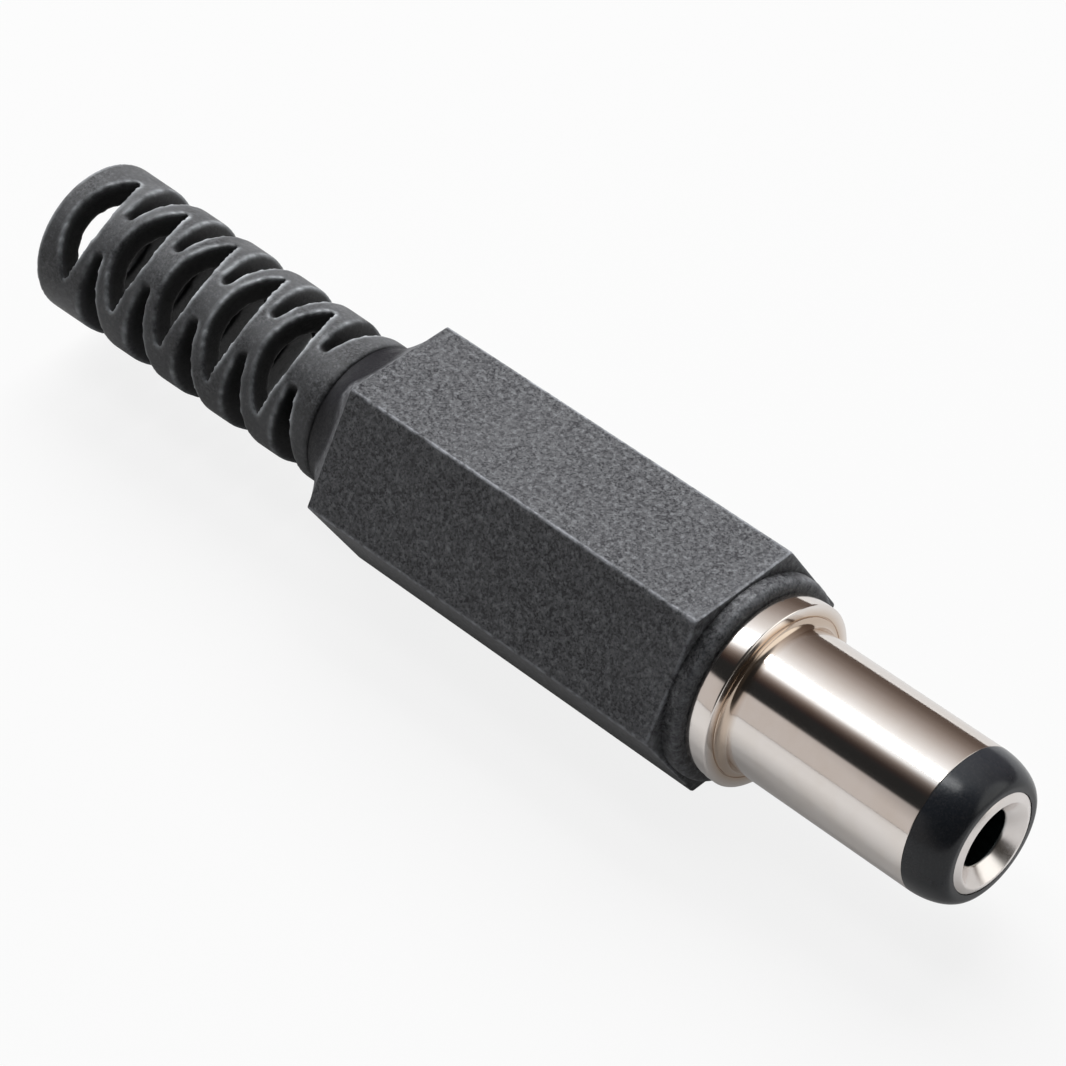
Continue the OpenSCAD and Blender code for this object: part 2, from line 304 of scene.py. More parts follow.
def windowTree():
    # cuts a row of windows through a tube: slots seen from the front, and gaps at the two sides between them
    tree = bpy.data.node_groups.new("reliefWindows", "GeometryNodeTree")
    nodeInput(tree, "Geometry", "NodeSocketGeometry")
    nodeInput(tree, "Slot", "NodeSocketObject")
    nodeInput(tree, "Side Gap", "NodeSocketObject")
    nodeInput(tree, "Count", "NodeSocketInt", 5)
    nodeInput(tree, "First Place", "NodeSocketFloat", 0.0)
    nodeInput(tree, "Rib Pitch", "NodeSocketFloat", 1.0)
    nodeInput(tree, "Turn", "NodeSocketFloat", 0.0)
    nodeInput(tree, "Material", "NodeSocketMaterial")
    nodeOutput(tree, "Geometry", "NodeSocketGeometry")
    given = tree.nodes.new("NodeGroupInput").outputs
    cut = tree.nodes.new("GeometryNodeMeshBoolean")
    cut.operation = "DIFFERENCE"
    tree.links.new(given["Geometry"], cut.inputs["Mesh 1"])
    for cutterName, shift in (("Slot", 0), ("Side Gap", 1)):
        start = tree.nodes.new("ShaderNodeCombineXYZ")
        step = tree.nodes.new("ShaderNodeCombineXYZ")
        place = mathNode(tree, "MULTIPLY", given["Rib Pitch"], shift)
        tree.links.new(mathNode(tree, "ADD", given["First Place"], place), start.inputs[0])
        tree.links.new(mathNode(tree, "MULTIPLY", given["Rib Pitch"], 2.0), step.inputs[0])
        row = tree.nodes.new("GeometryNodeMeshLine")
        row.mode = "OFFSET"
        tree.links.new(given["Count"], row.inputs["Count"])
        tree.links.new(start.outputs[0], row.inputs["Start Location"])
        tree.links.new(step.outputs[0], row.inputs["Offset"])
        cutter = tree.nodes.new("GeometryNodeObjectInfo")
        tree.links.new(given[cutterName], cutter.inputs["Object"])
        turn = tree.nodes.new("ShaderNodeCombineXYZ")
        tree.links.new(given["Turn"], turn.inputs[0])
        copies = tree.nodes.new("GeometryNodeInstanceOnPoints")
        tree.links.new(row.outputs[0], copies.inputs["Points"])
        tree.links.new(cutter.outputs["Geometry"], copies.inputs["Instance"])
        tree.links.new(turn.outputs[0], copies.inputs["Rotation"])
        tree.links.new(copies.outputs[0], cut.inputs["Mesh 2"])
    endTree(tree, cut.outputs["Mesh"], given["Material"])
    return tree


# Finishes

def shaderGroup(name, inputs, outputs):
    group = bpy.data.node_groups.new(name, "ShaderNodeTree")
    for inputName, kind, value in inputs:
        nodeInput(group, inputName, kind, value)
    for outputName, kind in outputs:
        nodeOutput(group, outputName, kind)
    return group, group.nodes.new("NodeGroupInput").outputs, group.nodes.new("NodeGroupOutput").inputs


def noiseNode(tree, vector, scale, detail=2.0, roughness=0.5):
    node = tree.nodes.new("ShaderNodeTexNoise")
    tree.links.new(vector, node.inputs["Vector"])
    if isinstance(scale, (int, float)):
        node.inputs["Scale"].default_value = scale
    else:
        tree.links.new(scale, node.inputs["Scale"])
    node.inputs["Detail"].default_value = detail
    node.inputs["Roughness"].default_value = roughness
    return node.outputs["Fac"]


def cellNode(tree, vector, scale):
    # a random level for each small cell
    node = tree.nodes.new("ShaderNodeTexVoronoi")
    tree.links.new(vector, node.inputs["Vector"])
    tree.links.new(scale, node.inputs["Scale"])
    parts = tree.nodes.new("ShaderNodeSeparateColor")
    tree.links.new(node.outputs["Color"], parts.inputs[0])
    return parts.outputs[0]


def stretched(tree, value, low, high):
    node = tree.nodes.new("ShaderNodeMapRange")
    tree.links.new(value, node.inputs["Value"])
    for socketName, setting in (("From Min", low), ("From Max", high)):
        node.inputs[socketName].default_value = setting
    return node.outputs[0]


def inMillimetres(tree, vector):
    node = tree.nodes.new("ShaderNodeVectorMath")
    node.operation = "SCALE"
    tree.links.new(vector, node.inputs[0])
    node.inputs["Scale"].default_value = 1 / millimetre
    return node.outputs[0]


def mouldGrainGroup():
    group, given, result = shaderGroup(
        "mouldGrain",
        [("Vector", "NodeSocketVector", None), ("Grain Size", "NodeSocketFloat", 0.1),
         ("Fleck Size", "NodeSocketFloat", 0.2)],
        [("Grain", "NodeSocketFloat"), ("Flecks", "NodeSocketFloat"), ("Bloom", "NodeSocketFloat")])
    place = inMillimetres(group, given["Vector"])
    grain = noiseNode(group, place, mathNode(group, "DIVIDE", 1.0, given["Grain Size"]), 5.0, 0.8)
    cells = cellNode(group, place, mathNode(group, "DIVIDE", 1.0, given["Grain Size"]))
    grain = mathNode(group, "ADD", mathNode(group, "MULTIPLY", grain, 0.6),
                     mathNode(group, "MULTIPLY", cells, 0.4))
    fleck = noiseNode(group, place, mathNode(group, "DIVIDE", 1.0, given["Fleck Size"]), 4.0, 0.75)
    bloom = noiseNode(group, place, 0.45, 3.0, 0.55)
    group.links.new(stretched(group, grain, 0.32, 0.68), result["Grain"])
    group.links.new(stretched(group, fleck, 0.50, 0.70), result["Flecks"])
    group.links.new(stretched(group, bloom, 0.35, 0.7), result["Bloom"])
    return group


def turningMarksGroup():
    group, given, result = shaderGroup(
        "turningMarks",
        [("Vector", "NodeSocketVector", None), ("Mark Width", "NodeSocketFloat", 0.03)],
        [("Rings", "NodeSocketFloat"), ("Streaks", "NodeSocketFloat"), ("Stain", "NodeSocketFloat")])
    place = inMillimetres(group, given["Vector"])
    squeeze = group.nodes.new("ShaderNodeMapping")
    squeeze.inputs["Scale"].default_value = (1.0, 0.04, 0.04)
    group.links.new(place, squeeze.inputs["Vector"])
    fineness = mathNode(group, "DIVIDE", 1.0, given["Mark Width"])
    rings = noiseNode(group, squeeze.outputs[0], fineness, 2.0, 0.6)
    along = group.nodes.new("ShaderNodeMapping")
    along.inputs["Scale"].default_value = (0.12, 1.0, 1.0)
    group.links.new(place, along.inputs["Vector"])
    streaks = noiseNode(group, along.outputs[0], 5.0, 3.0, 0.6)
    stain = noiseNode(group, place, 0.7, 3.0, 0.6)
    group.links.new(rings, result["Rings"])
    group.links.new(streaks, result["Streaks"])
    group.links.new(stretched(group, stain, 0.45, 0.75), result["Stain"])
    return group


def edgeWearHighlightAndShadeGroup():
    # breaks up the stored wear and painted edge highlight, so that a rubbed edge looks uneven, and turns the
    # stored recess into painted shade
    group, given, result = shaderGroup(
        "edgeWearHighlightAndShade",
        [("Vector", "NodeSocketVector", None), ("Wear And Highlight", "NodeSocketFloat", 0.0),
         ("Recess", "NodeSocketFloat", 0.0), ("Patch Size", "NodeSocketFloat", 0.4)],
        [("Rubbed And Highlight", "NodeSocketFloat"), ("Recess Shade", "NodeSocketFloat")])
    place = inMillimetres(group, given["Vector"])
    patches = noiseNode(group, place, mathNode(group, "DIVIDE", 1.0, given["Patch Size"]), 4.0, 0.65)
    uneven = stretched(group, patches, 0.34, 0.62)
    group.links.new(mathNode(group, "MULTIPLY", given["Wear And Highlight"], uneven), result["Rubbed And Highlight"])
    group.links.new(mathNode(group, "POWER", given["Recess"], 0.6), result["Recess Shade"])
    return group


def storedValue(tree, name):
    node = tree.nodes.new("ShaderNodeAttribute")
    node.attribute_name = name
    return node.outputs["Fac"]


def newMaterial(name):
    material = bpy.data.materials.new(name)
    material.use_nodes = True
    return material, material.node_tree, material.node_tree.nodes["Principled BSDF"]


def placeGroup(tree, group, **values):
    node = tree.nodes.new("ShaderNodeGroup")
    node.node_tree = group
    coordinates = tree.nodes.new("ShaderNodeTexCoord")
    tree.links.new(coordinates.outputs["Object"], node.inputs["Vector"])
    for key, value in values.items():
        node.inputs[key.replace("_", " ")].default_value = value
    return node.outputs


def blendColour(tree, factor, first, second):
    node = tree.nodes.new("ShaderNodeMix")
    node.data_type = "RGBA"
    tree.links.new(factor, node.inputs[0])
    for socket, value in ((node.inputs[6], first), (node.inputs[7], second)):
        if isinstance(value, tuple):
            socket.default_value = (*value, 1)
        else:
            tree.links.new(value, socket)
    return node.outputs[2]


def blendValue(tree, factor, first, second):
    node = tree.nodes.new("ShaderNodeMapRange")
    tree.links.new(factor, node.inputs["Value"])
    node.inputs["To Min"].default_value = first
    node.inputs["To Max"].default_value = second
    return node.outputs[0]


def bumpFrom(tree, shader, height, strength, distance):
    node = tree.nodes.new("ShaderNodeBump")
    node.inputs["Strength"].default_value = strength
    node.inputs["Distance"].default_value = distance * millimetre
    tree.links.new(height, node.inputs["Height"])
    tree.links.new(node.outputs[0], shader.inputs["Normal"])


def plasticFinish(name, look):
    material, tree, shader = newMaterial(name)
    marks = placeGroup(tree, grainGroup, Grain_Size=look["grainSize"], Fleck_Size=look["fleckSize"])
    edges = placeGroup(tree, wearHighlightAndShadeGroup, Patch_Size=look["patchSize"])
    for socketName, stored in (("Wear And Highlight", "wearAndHighlight"), ("Recess", "recess")):
        tree.links.new(storedValue(tree, stored), edges["Rubbed And Highlight"].node.inputs[socketName])
    body = blendColour(tree, marks["Bloom"], look["dark"], look["paler"])
    body = blendColour(tree, marks["Grain"], body, look["grain"])
    body = blendColour(tree, marks["Flecks"], body, look["fleck"])
    # wear and painted highlight: edges that stand out are made paler and glossier
    body = blendColour(tree, edges["Rubbed And Highlight"], body, look["rubbedAndHighlight"])
    # painted shade: surfaces below the outer skin are darkened towards near black
    body = blendColour(tree, edges["Recess Shade"], body, look["recessShade"])
    tree.links.new(body, shader.inputs["Base Color"])
    dull = blendValue(tree, marks["Grain"], *look["roughness"])
    rubbedAndHighlight = mathNode(tree, "MULTIPLY", edges["Rubbed And Highlight"], look["polish"])
    tree.links.new(mathNode(tree, "SUBTRACT", dull, rubbedAndHighlight), shader.inputs["Roughness"])
    shader.inputs["Specular IOR Level"].default_value = look["specular"]
    bumpFrom(tree, shader, marks["Grain"], look["bump"], look["bumpDepth"])
    return material


def metalFinish(name, look):
    material, tree, shader = newMaterial(name)
    marks = placeGroup(tree, marksGroup, Mark_Width=look["markWidth"])
    plated = blendColour(tree, marks["Stain"], look["bright"], look["stain"])
    # this colour is brown tarnish on the sleeve and painted shade in the contact's bore
    plated = blendColour(tree, storedValue(tree, "tarnishAndShade"), plated, look["tarnishAndShade"])
    tree.links.new(plated, shader.inputs["Base Color"])
    shader.inputs["Metallic"].default_value = 1.0
    tree.links.new(blendValue(tree, marks["Streaks"], *look["roughness"]), shader.inputs["Roughness"])
    bumpFrom(tree, shader, marks["Rings"], look["bump"], look["bumpDepth"])
    return material


grainGroup = mouldGrainGroup()
wearHighlightAndShadeGroup = edgeWearHighlightAndShadeGroup()
marksGroup = turningMarksGroup()
# in each look, the colour for rubbed edges is wear and painted highlight, and the colour for recesses is
# painted shade
finishes = {
    "cover": plasticFinish("coverPlastic", {
        "dark": (0.011, 0.011, 0.014), "paler": (0.031, 0.031, 0.035), "grain": (0.090, 0.092, 0.097),
        "fleck": (0.165, 0.170, 0.179), "rubbedAndHighlight": (0.24, 0.25, 0.27), "recessShade": (0.007, 0.007, 0.009),
        "grainSize": 0.075, "fleckSize": 0.20, "patchSize": 0.35, "roughness": (0.44, 0.60), "polish": 0.12,
        "specular": 0.25, "bump": 0.35, "bumpDepth": 0.02}),
    "relief": plasticFinish("reliefPlastic", {
        "dark": (0.013, 0.013, 0.014), "paler": (0.078, 0.080, 0.083), "grain": (0.058, 0.060, 0.064),
        "fleck": (0.097, 0.099, 0.105), "rubbedAndHighlight": (0.342, 0.360, 0.378), "recessShade": (0.004, 0.004, 0.005),
        "grainSize": 0.08, "fleckSize": 0.16, "patchSize": 1.6, "roughness": (0.46, 0.60), "polish": 0.12,
        "specular": 0.26, "bump": 0.3, "bumpDepth": 0.02}),
    "nose": plasticFinish("nosePlastic", {
        "dark": (0.009, 0.011, 0.014), "paler": (0.016, 0.018, 0.022), "grain": (0.014, 0.016, 0.020),
        "fleck": (0.022, 0.022, 0.025), "rubbedAndHighlight": (0.054, 0.054, 0.054), "recessShade": (0.009, 0.011, 0.014),
        "grainSize": 0.05, "fleckSize": 0.1, "patchSize": 0.5, "roughness": (0.16, 0.24), "polish": 0.0,
        "specular": 0.36, "bump": 0.05, "bumpDepth": 0.01}),
    "washer": plasticFinish("washerPlastic", {
        "dark": (0.62, 0.56, 0.42), "paler": (0.70, 0.64, 0.50), "grain": (0.66, 0.60, 0.46),
        "fleck": (0.50, 0.42, 0.28), "rubbedAndHighlight": (0.72, 0.67, 0.55), "recessShade": (0.40, 0.34, 0.24),
        "grainSize": 0.06, "fleckSize": 0.15, "patchSize": 0.5, "roughness": (0.5, 0.7), "polish": 0.0,
        "specular": 0.4, "bump": 0.2, "bumpDepth": 0.02}),
    "sleeve": metalFinish("sleeveNickel", {
        "bright": (0.82, 0.77, 0.735), "stain": (0.79, 0.73, 0.68), "tarnishAndShade": (0.60, 0.49, 0.40),
        "markWidth": 0.05, "roughness": (0.07, 0.14), "bump": 0.08, "bumpDepth": 0.004}),
    # the contact's tarnish colour is painted shade, which darkens its bore to a greenish black
    "contact": metalFinish("contactNickel", {
        "bright": (0.80, 0.76, 0.74), "stain": (0.74, 0.69, 0.66), "tarnishAndShade": (0.15, 0.19, 0.20),
        "markWidth": 0.04, "roughness": (0.16, 0.28), "bump": 0.12, "bumpDepth": 0.004}),
    "terminal": metalFinish("terminalTin", {
        "bright": (0.74, 0.72, 0.68), "stain": (0.62, 0.58, 0.50), "tarnishAndShade": (0.50, 0.42, 0.32),
        "markWidth": 0.08, "roughness": (0.26, 0.42), "bump": 0.15, "bumpDepth": 0.006}),
}
print("stage: finishes made")


# Cover: collar, hexagonal grip, lofted shoulder and the holes inside

coverShape = {
    "collarRadius": 3.9, "collarLength": 0.85, "collarRounding": 0.3, "collarSteps": 8, "collarSeat": 0.2,
    "lead": 0.1, "gripLength": 16.3, "gripSteps": 16, "ridgeRounding": (0.15, 0.12), "endRounding": 0.08,
    # places back from the grip's front and how far in the flat is there, as shares of the end rounding
    "frontRollover": ((0, 1.0), (0.3, 0.3), (1.0, 0), (1.6, 0)),
    # places across a flat where the surface has points, close together next to the ridges
    "flatPlaces": (0.012, 0.05, 0.15, 0.35, 0.65, 0.85, 0.95, 0.988), "cornerSteps": 10,
    "shoulderLength": 1.95, "shoulderSteps": 16, "shoulderHollow": 2.4,
    "grooveDepth": 0.1, "grooveWidth": 0.12, "hollowRadius": 2.95,
    "threadRadius": 3.2, "threadLength": 6.0, "threadRoot": 0.12, "wearAndHighlightBends": (1.0, 3.8),
}
thread = {"pitch": 0.5, "stationsPerTurn": 8, "reach": 0.01}


def threadStations(start, end, radius):
    # the points along a plain cylinder that a thread is pressed into
    count = round(abs(end - start) / thread["pitch"] * thread["stationsPerTurn"])
    return [Vector((start + (end - start) * step / count, radius)) for step in range(count + 1)]


def cutThread(made, front, rear, radius, depth, finish):
    runTree(made, "thread", threadGroup, {
        "Front": front, "Rear": rear, "Radius": radius, "Reach": thread["reach"], "Pitch": thread["pitch"],
        "Depth": depth, "Material": finish})


def hexagonRing(x, apothem, rounding):
    # one loop of the grip: a hexagon with flats below and above and arcs at its corners
    arcs = []
    steps = coverShape["cornerSteps"]
    reach = (apothem - rounding) / math.cos(math.radians(30))
    for side in range(6):
        middle = math.radians(60 * side)
        centre = Vector((x, reach * math.cos(middle), reach * math.sin(middle)))
        angles = [middle + math.radians(60 * step / steps - 30) for step in range(steps + 1)]
        arcs.append([centre + Vector((0, rounding * math.cos(a), rounding * math.sin(a))) for a in angles])
    ring = []
    for side, arc in enumerate(arcs):
        following = arcs[(side + 1) % 6][0]
        ring += arc + [arc[-1].lerp(following, place) for place in coverShape["flatPlaces"]]
    return ring


def roundRing(x, radius):
    ring = hexagonRing(x, 1, 0.5)
    return [Vector((x, *(Vector(p[1:]).normalized() * radius))) for p in ring]


def blendedRing(first, second, share):
    return [a.lerp(b, share) for a, b in zip(first, second)]


def makeCoverFront():
    s = coverShape
    flat = coverHigh.z
    front = coverHigh.x - s["collarSeat"]
    gripFront = coverHigh.x - s["collarLength"]
    gripRear = gripFront - s["gripLength"]
    reliefFront = gripRear - s["shoulderLength"]
    neck = reliefShape["frontRadius"]
    rings = [roundRing(front, s["threadRadius"] + s["lead"])]
    for step in range(s["collarSteps"] + 1):
        a = math.radians(90 * step / s["collarSteps"])
        rings.append(roundRing(front - s["collarRounding"] * (1 - math.cos(a)),
                               s["collarRadius"] - s["collarRounding"] * (1 - math.sin(a))))
    rings.append(roundRing(gripFront, s["collarRadius"]))
    frontRounding, rearRounding = s["ridgeRounding"]
    for back, inset in s["frontRollover"]:
        flatFront = gripFront - back * s["endRounding"]
        rings.append(hexagonRing(flatFront, flat - inset * s["endRounding"], frontRounding))
    for step in range(1, s["gripSteps"] + 1):
        t = step / s["gripSteps"]
        rounding = frontRounding + (rearRounding - frontRounding) * t
        rings.append(hexagonRing(flatFront + (gripRear - flatFront) * t, flat, rounding))
    for step in range(1, s["shoulderSteps"] + 1):
        t = step / s["shoulderSteps"]
        x = gripRear + (reliefFront + s["grooveWidth"] - gripRear) * t
        apothem = neck + (flat - neck) * (1 - t) ** s["shoulderHollow"]
        sixSided = hexagonRing(x, apothem, max(rearRounding, neck * t * t))
        rings.append(blendedRing(sixSided, roundRing(x, neck), t ** 4))
    rings.append(roundRing(reliefFront + s["grooveWidth"] / 2, neck - s["grooveDepth"]))
    rings.append(roundRing(reliefFront, neck - s["grooveDepth"]))
    rings.append(roundRing(reliefFront, mountRadius("cable_entry")))
    rings.append(roundRing(gripRear, s["hollowRadius"]))
    threadRear = front - s["threadLength"]
    rings.append(roundRing(threadRear, s["hollowRadius"]))
    rings += [roundRing(x, r) for x, r in threadStations(threadRear, front, s["threadRadius"])]
    made = meshObject("coverGrip", closedLoft(rings))
    cutThread(made, front, threadRear, s["threadRadius"], s["threadRoot"], finishes["cover"])
    # wear and painted highlight along the grip's edges
    markWearAndHighlight(made.data, s["wearAndHighlightBends"], gripRear - 0.05, front + 1)
    # painted shade inside the threaded hollow
    markRecess(made.data, s["threadRadius"] + 0.05, 0.1)
    return finishPiece(made, "cover", finishes["cover"], ["cover"])


# Strain relief: a tube with five slots from front to back and five gaps at each side

reliefShape = {
    "frontRadius": 2.875, "rearRadius": 3.015, "collarLength": 0.95, "endRing": 0.9, "endRounding": 0.12,
    "ribCount": 9, "ribPitch": 1.29, "ribWidth": 0.62, "ribSway": 0.35,
    "sideBridge": 0.65, "faceBridge": 1.52, "gapTip": 0.4, "turn": 30.0,
    "voxel": 0.1, "smoothing": 3, "wearAndHighlightBends": (0.9, 3.4),
}


def arcThrough(sag, near, far):
    # centre distance and radius of an arc that comes sag nearer to a line between two heights
    centre = ((far * far - near * near) / sag - sag) / 2
    return centre, math.hypot(centre + sag, near)


def slotWidth():
    # widest part of a slot, which leaves a rib between it and the next one
    return reliefShape["ribPitch"] + 2 * reliefShape["ribSway"] - reliefShape["ribWidth"]


def prism(name, outline, height):
    # outline is in the plane of the axis and the cross direction, raised both ways along Z
    shape = bmesh.new()
    top = [shape.verts.new((x, y, height)) for x, y in outline]
    bottom = [shape.verts.new((x, y, -height)) for x, y in outline]
    shape.faces.new(top)
    shape.faces.new(list(reversed(bottom)))
    for i in range(len(outline)):
        j = (i + 1) % len(outline)
        shape.faces.new((top[j], top[i], bottom[i], bottom[j]))
    bmesh.ops.recalc_face_normals(shape, faces=shape.faces)
    return meshObject(name, shape)


def slotCutter():
    # a lens-shaped bar, which cuts one slot through the front and the back of the tube
    s = reliefShape
    half = slotWidth() / 2
    slotHalf = s["rearRadius"] - s["sideBridge"]
    centre, radius = arcThrough(half, 0, slotHalf)
    heights = [slotHalf * math.sin(math.radians(a)) for a in range(-90, 91, 10)]
    side = [(math.sqrt(radius ** 2 - y ** 2) - centre, y) for y in heights]
    return prism("slotCutter", side + [(-x, y) for x, y in reversed(side[1:-1])], 2 * s["rearRadius"])


def sideCutter():
    # two flared bars, one above and one below, which cut the gaps at the tube's two sides
    s = reliefShape
    tip = s["gapTip"] / 2
    tipHeight = s["faceBridge"] / 2 + tip
    outer = s["rearRadius"] + 0.5
    sag = slotWidth() / 2 - tip
    centre, radius = arcThrough(sag, tipHeight, s["rearRadius"])
    tipAngles = [math.radians(a) for a in range(-90, 0, 15)]
    right = [(tip * math.cos(a), tipHeight + tip * math.sin(a)) for a in tipAngles]
    for step in range(13):
        y = tipHeight + (outer - tipHeight) * step / 12
        right.append((centre + sag + tip - math.sqrt(radius ** 2 - y ** 2), y))
    outline = right + [(-x, y) for x, y in reversed(right[1:])]
    upper = prism("sideCutter", outline, 2 * s["rearRadius"])
    lower = prism("sideCutterLower", [(x, -y) for x, y in reversed(outline)], 2 * s["rearRadius"])
    both = bmesh.new()
    both.from_mesh(upper.data)
    both.from_mesh(lower.data)
    both.to_mesh(upper.data)
    both.free()
    bpy.data.objects.remove(lower)
    return upper


def makeStrainRelief():
    s = reliefShape
    front = coverHigh.x - coverShape["collarLength"] - coverShape["gripLength"] - coverShape["shoulderLength"]
    rear = coverLow.x
    bore = mountRadius("cable_entry")
    outline = softened([(front, bore, 0), (front, s["frontRadius"], 0.05),
                        (rear, s["rearRadius"], s["endRounding"]), (rear, bore, 0.08)])
    blank = meshObject("strainRelief", turned(outline, 96))
    cutters = (slotCutter(), sideCutter())
    runTree(blank, "windows", windowGroup, {
        "Slot": cutters[0], "Side Gap": cutters[1], "Count": (s["ribCount"] + 1) // 2,
        "First Place": rear + s["endRing"] + s["ribPitch"] / 2, "Rib Pitch": s["ribPitch"],
        "Turn": math.radians(s["turn"]), "Material": finishes["relief"]})
    for cutter in cutters:
        bpy.data.objects.remove(cutter)

    remesh = blank.modifiers.new("fine", "REMESH")
    remesh.mode = "VOXEL"
    remesh.voxel_size = s["voxel"]
    smooth = blank.modifiers.new("soft", "SMOOTH")
    smooth.factor = 0.5
    smooth.iterations = s["smoothing"]
    bakeModifiers(blank)
    # wear and painted highlight along the ribs and window edges
    markWearAndHighlight(blank.data, s["wearAndHighlightBends"], rear - 1, front - 0.2)
    # painted shade inside the windows and the bore
    markRecess(blank.data, s["frontRadius"] - 0.05, 0.3)
    return finishPiece(blank, "cover", finishes["relief"], ["cover"], sharpAngle=80)


threadGroup = threadTree()
windowGroup = windowTree()
makeCoverFront()
makeStrainRelief()
print("stage: cover made")


# Sleeve: barrel, flange, threaded shank and rolled rim

sleeveShape = {
    "wall": 0.5, "rootRadius": 0.3, "rootLine": 3.06, "flangeThickness": 0.9, "flangeRounding": 0.08,
    "threadDepth": 0.17, "shankRadius": 3.1, "tailWall": 0.25, "tailRoll": 0.25, "rollRadius": 2.7,
}


def makeSleeve():
    s = sleeveShape
    barrel = mountRadius("barrel")
    inner = barrel - s["wall"]
    flange = sleeveHigh.z
    flangeRear = -s["flangeThickness"]
    shankRear = ringHigh.x
    tail = sleeveLow.x
    rim = s["rollRadius"]
    root = s["rootLine"]
    outline = softened([
        (tail, inner, 0.03), (tail, rim, 0.06), (tail + s["tailRoll"], rim, 0.06),
        (tail + s["tailRoll"], inner + s["tailWall"], 0), (shankRear, inner + s["tailWall"], 0)])
    outline += threadStations(shankRear, flangeRear, s["shankRadius"])
    outline += softened([
        (flangeRear, s["shankRadius"] + 0.01, 0), (flangeRear, flange, 0.08),
        (0, flange, s["flangeRounding"]), (0, root + 0.04, 0),
        (-0.03, root + 0.02, 0), (-0.03, root, 0), (0.02, root - 0.02, 0),
        (0.03, barrel, s["rootRadius"]), (0.5, barrel, 0), (0.8, barrel, 0),
        (sleeveHigh.x, barrel, 0.03), (sleeveHigh.x, inner, 0), (0, inner, 0)])[:-1]
    made = meshObject("sleeveTurned", turned(outline))
    cutThread(made, flangeRear, shankRear, s["shankRadius"], -s["threadDepth"], finishes["sleeve"])
    markTarnishAndShade(made.data, -0.05, 0.5, root + 0.2, 0.2)
    return finishPiece(made, "contact_set", finishes["sleeve"], ["sleeve"])


# Nose: rounded front and the liner tube behind it

noseShape = {"shoulderLength": 1.5, "shoulderDepth": 0.67, "fullness": 1.85, "roundingSteps": 24}


def makeNose():
    s = noseShape
    barrel = mountRadius("barrel")
    contact = mountRadius("centre_bore") + contactShape["wall"]
    liner = barrel - sleeveShape["wall"]
    front = noseHigh.x
    shoulder = front - s["shoulderLength"]
    power = 2 / s["fullness"]
    outline = [Vector((noseLow.x, contact)), Vector((noseLow.x, liner)), Vector((shoulder, liner)),
               Vector((shoulder, barrel - 0.03)), Vector((shoulder + 0.02, barrel))]
    for step in range(1, s["roundingSteps"] + 1):
        a = math.radians(90 * step / s["roundingSteps"])
        x = shoulder + s["shoulderLength"] * math.sin(a) ** power
        outline.append(Vector((x, barrel - s["shoulderDepth"] * (1 - max(math.cos(a), 0) ** power))))
    outline += [Vector((front, contactShape["lipRadius"])),
                Vector((contactShape["lipSeat"], contactShape["lipRadius"])),
                Vector((contactShape["lipSeat"], contact))]
    made = meshObject("noseMoulding", turned(outline))
    return finishPiece(made, "contact_set", finishes["nose"], ["nose_insulator"])


# Centre contact: tube with a domed lip, countersunk mouth and riveted rear

contactShape = {
    "wall": 0.3, "lipRadius": 1.92, "lipSeat": 9.1, "lipDrop": 0.15, "mouthRadius": 1.55, "mouthDepth": 0.5,
    "rivetLength": 0.3, "rivetRadius": 1.7,
}


def makeContact():
    s = contactShape
    bore = mountRadius("centre_bore")
    outer = bore + s["wall"]
    rear, tip = contactLow.x, contactHigh.x
    outline = softened([
        (rear, bore, 0.04), (rear, s["rivetRadius"], 0.08), (rear + s["rivetLength"], s["rivetRadius"], 0.04),
        (rear + s["rivetLength"], outer, 0), (s["lipSeat"], outer, 0), (s["lipSeat"], s["lipRadius"], 0),
        (tip - s["lipDrop"], s["lipRadius"], 0.05), (tip, s["mouthRadius"] + 0.08, 0.1),
        (tip - s["mouthDepth"], bore, 0.15)])
    made = meshObject("contactTube", turned(outline))
    coneEnd = tip - s["mouthDepth"]
    # painted shade: darkens the bore of the contact up to its mouth
    markTarnishAndShade(made.data, rear, coneEnd + 0.05, bore + 0.02, coneEnd - 0.05)
    return finishPiece(made, "contact_set", finishes["contact"], ["centre_contact"])


makeSleeve()
makeNose()
makeContact()
for nodeName, finishName in (("rear_insulator", "washer"), ("sleeve_terminal", "terminal"),
                             ("centre_terminal", "terminal")):
    solid = frame["nodes"][nodeName]
    solid.data.materials.clear()
    solid.data.materials.append(finishes[finishName])
print("stage: metal and insulators made")


# Floor, light and camera

studio = {
    "floorSize": 1.2, "floorTone": 0.4, "whiteShare": 0.85, "glossShare": 0.22, "matteShare": 0.25,
    # towards where a soft card stands, cosines where it begins and is full, its share and its tone
    "cards": {"cameraSide": ((0.52, -0.51, 0.69), 0.47, 0.85, 0.95, (0.02, 0.02, 0.02)),
              "tipFlag": ((0.92, -0.25, 0.25), 0.84, 0.90, 0.95, (0.04, 0.035, 0.03)),
              "tipLight": ((0.75, 0.51, 0.41), 0.86, 0.95, 1.0, (1.4, 1.4, 1.35))},
    # degrees round the plug's axis, distance, size and power of each lamp, and whether metal mirrors it
    "lamps": {"overheadSoftbox": (91.0, 0.7, (0.9, 0.16), 2.4, True),
              "backSoftbox": (50.0, 0.8, (0.9, 0.5), 17.0, False)},
    "lampLean": 0.52,
}

# tones of the room by degrees round the plug's axis, from the horizon behind it over the top to the front
room = {
    "shade": 0.11, "softbox": 1.3, "softboxFrom": 86.0, "softboxTo": 103.0, "falloff": 5.3,
    "flag": 0.02, "flagFrom": 126.0, "flagTo": 144.0, "flagEdge": 2.5, "wall": 0.60,
    # the darker a tone is, the warmer
    "warmth": (1.0, 1.14, 1.23),
}


